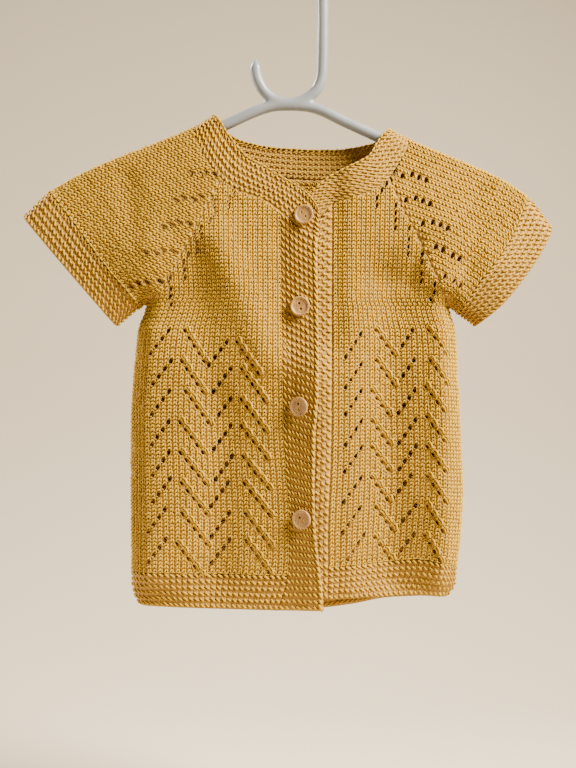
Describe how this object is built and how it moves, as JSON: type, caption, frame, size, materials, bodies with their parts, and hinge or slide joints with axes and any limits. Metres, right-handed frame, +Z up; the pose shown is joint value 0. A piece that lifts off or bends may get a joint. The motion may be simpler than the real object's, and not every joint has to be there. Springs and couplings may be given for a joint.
{
  "type": "knitted baby vest on a hanger",
  "caption": "Hand-knitted baby vest with short raglan sleeves, lace columns and a buttoned front, hanging on a moulded hanger.",
  "frame": {"origin": "inside of the crown of the hanger's hook, where it hangs", "axes": "+X to the viewer's right when facing the front, +Y from the front to the back, +Z up"},
  "size_m": [0.3816, 0.0574, 0.4686],
  "materials": {
    "yarn": "matt mustard knitting yarn",
    "button_wood": "smooth pale wood",
    "hanger_plastic": "satin light grey"
  },
  "bodies": {
    "root": {"back": "yarn", "right_front": "yarn", "left_front": "yarn", "right_sleeve": "yarn", "left_sleeve": "yarn", "right_cuff": "yarn", "left_cuff": "yarn", "neckband": "yarn", "buttonhole_band": "yarn", "button_band": "yarn", "right_front_hem": "yarn", "left_front_hem": "yarn", "back_hem": "yarn", "button_1": "button_wood", "button_2": "button_wood", "button_3": "button_wood", "button_4": "button_wood", "hanger": "hanger_plastic"}
  },
  "joints": []
}
